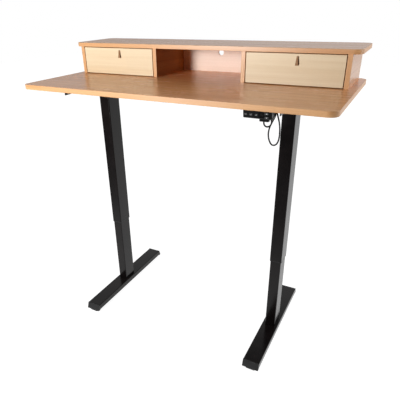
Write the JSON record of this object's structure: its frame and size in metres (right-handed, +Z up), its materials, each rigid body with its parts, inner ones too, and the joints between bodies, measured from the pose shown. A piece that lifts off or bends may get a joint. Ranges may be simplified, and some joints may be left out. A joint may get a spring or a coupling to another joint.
{
  "type": "computer desk",
  "caption": "Height-adjustable computer desk on lifting columns, with a drawer riser on the worktop and a handset under its front edge.",
  "frame": {"origin": "on the floor, midway between the worktop's ends and between its front and rear edges", "axes": "+X towards the user's right, +Y towards the rear edge, +Z up; the user sits on the -Y side"},
  "size_m": [1.2, 0.6, 1.185],
  "materials": {
    "beech_top": "satin beech laminate",
    "beech_board": "satin beech laminate, banded edges",
    "birch_front": "satin pale birch laminate",
    "birch_back": "satin pale beech laminate",
    "drawer_board": "satin laminate",
    "hardboard": "smooth hardboard",
    "black_steel": "semi-gloss black powder coat",
    "zinc_steel": "rolled thread, oiled",
    "black_housing": "fine textured black plastic",
    "black_nylon": "smooth black nylon",
    "leather": "brown leather",
    "dark_window": "glossy dark window",
    "lead_sheath": "matt dark grey sheath",
    "grey_clip": "light grey plastic",
    "button_plastic": "satin black keys with pale marks"
  },
  "bodies": {
    "top": {"worktop": "beech_top", "riser_top": "beech_top", "riser_back": "birch_back", "outer_tube_left": "black_steel", "outer_tube_right": "black_steel", "guide_collar_left": "black_nylon", "guide_collar_right": "black_nylon", "drive_left": "black_housing", "drive_right": "black_housing", "side_arm_left": "black_steel", "side_arm_right": "black_steel", "cross_rail_front": "black_steel", "cross_rail_rear": "black_steel", "control_box": "black_housing", "handset": "black_housing", "handset_window": "dark_window", "handset_lead": "lead_sheath", "lead_run": "lead_sheath", "lead_clip": "grey_clip", "riser_end_left": "beech_board", "riser_divider_left": "beech_board", "riser_end_right": "beech_board", "riser_divider_right": "beech_board", "runner_left_a": "black_nylon", "runner_left_b": "black_nylon", "runner_right_a": "black_nylon", "runner_right_b": "black_nylon"},
    "leg_left": {"inner_tube_left": "black_steel", "spindle_nut_left": "black_nylon", "base_block_left": "black_steel", "foot_left": "black_steel", "foot_cap_left_front": "black_housing", "foot_cap_left_rear": "black_housing"},
    "drawer_left": {"drawer_front_left": "birch_front", "drawer_side_left_a": "drawer_board", "drawer_side_left_b": "drawer_board", "drawer_bottom_left": "hardboard", "drawer_back_left": "drawer_board", "drawer_tab_left": "leather"},
    "spindle_left": {"spindle_left": "zinc_steel"},
    "leg_right": {"inner_tube_right": "black_steel", "spindle_nut_right": "black_nylon", "base_block_right": "black_steel", "foot_right": "black_steel", "foot_cap_right_front": "black_housing", "foot_cap_right_rear": "black_housing"},
    "drawer_right": {"drawer_front_right": "birch_front", "drawer_side_right_a": "drawer_board", "drawer_side_right_b": "drawer_board", "drawer_bottom_right": "hardboard", "drawer_back_right": "drawer_board", "drawer_tab_right": "leather"},
    "spindle_right": {"spindle_right": "zinc_steel"},
    "button_memory_1": {"button_memory_1": "button_plastic"},
    "button_memory_2": {"button_memory_2": "button_plastic"},
    "button_memory_3": {"button_memory_3": "button_plastic"},
    "button_up": {"button_up": "button_plastic"},
    "button_down": {"button_down": "button_plastic"}
  },
  "joints": [
    {"name": "lift_left", "type": "slide", "parent": "top", "child": "leg_left", "axis": [0, 0, -1], "range_m": [-0.33, 0.15]},
    {"name": "lift_right", "type": "slide", "parent": "top", "child": "leg_right", "axis": [0, 0, -1], "range_m": [-0.33, 0.15]},
    {"name": "spindle_turn_left", "type": "hinge", "parent": "top", "child": "spindle_left", "pos_m": [-0.4015, -0.012, 1], "axis": [0, 0, 1], "range_deg": [-7430, 3380]},
    {"name": "spindle_turn_right", "type": "hinge", "parent": "top", "child": "spindle_right", "pos_m": [0.4015, -0.012, 1], "axis": [0, 0, 1], "range_deg": [-7430, 3380]},
    {"name": "drawer_slide_left", "type": "slide", "parent": "top", "child": "drawer_left", "axis": [0, -1, 0], "range_m": [0, 0.15]},
    {"name": "drawer_slide_right", "type": "slide", "parent": "top", "child": "drawer_right", "axis": [0, -1, 0], "range_m": [0, 0.15]},
    {"name": "button_memory_1_press", "type": "slide", "parent": "top", "child": "button_memory_1", "axis": [0, 1, 0], "range_m": [0, 0.0008], "stiffness_N_per_m": 2500},
    {"name": "button_memory_2_press", "type": "slide", "parent": "top", "child": "button_memory_2", "axis": [0, 1, 0], "range_m": [0, 0.0008], "stiffness_N_per_m": 2500},
    {"name": "button_memory_3_press", "type": "slide", "parent": "top", "child": "button_memory_3", "axis": [0, 1, 0], "range_m": [0, 0.0008], "stiffness_N_per_m": 2500},
    {"name": "button_up_press", "type": "slide", "parent": "top", "child": "button_up", "axis": [0, 1, 0], "range_m": [0, 0.0008], "stiffness_N_per_m": 2500},
    {"name": "button_down_press", "type": "slide", "parent": "top", "child": "button_down", "axis": [0, 1, 0], "range_m": [0, 0.0008], "stiffness_N_per_m": 2500}
  ],
  "couplings": [
    {"joint": "lift_right", "follows": "lift_left", "ratio": 1},
    {"joint": "spindle_turn_left", "follows": "lift_left", "rad_per_m": 392.7},
    {"joint": "spindle_turn_right", "follows": "lift_left", "rad_per_m": 392.7}
  ]
}
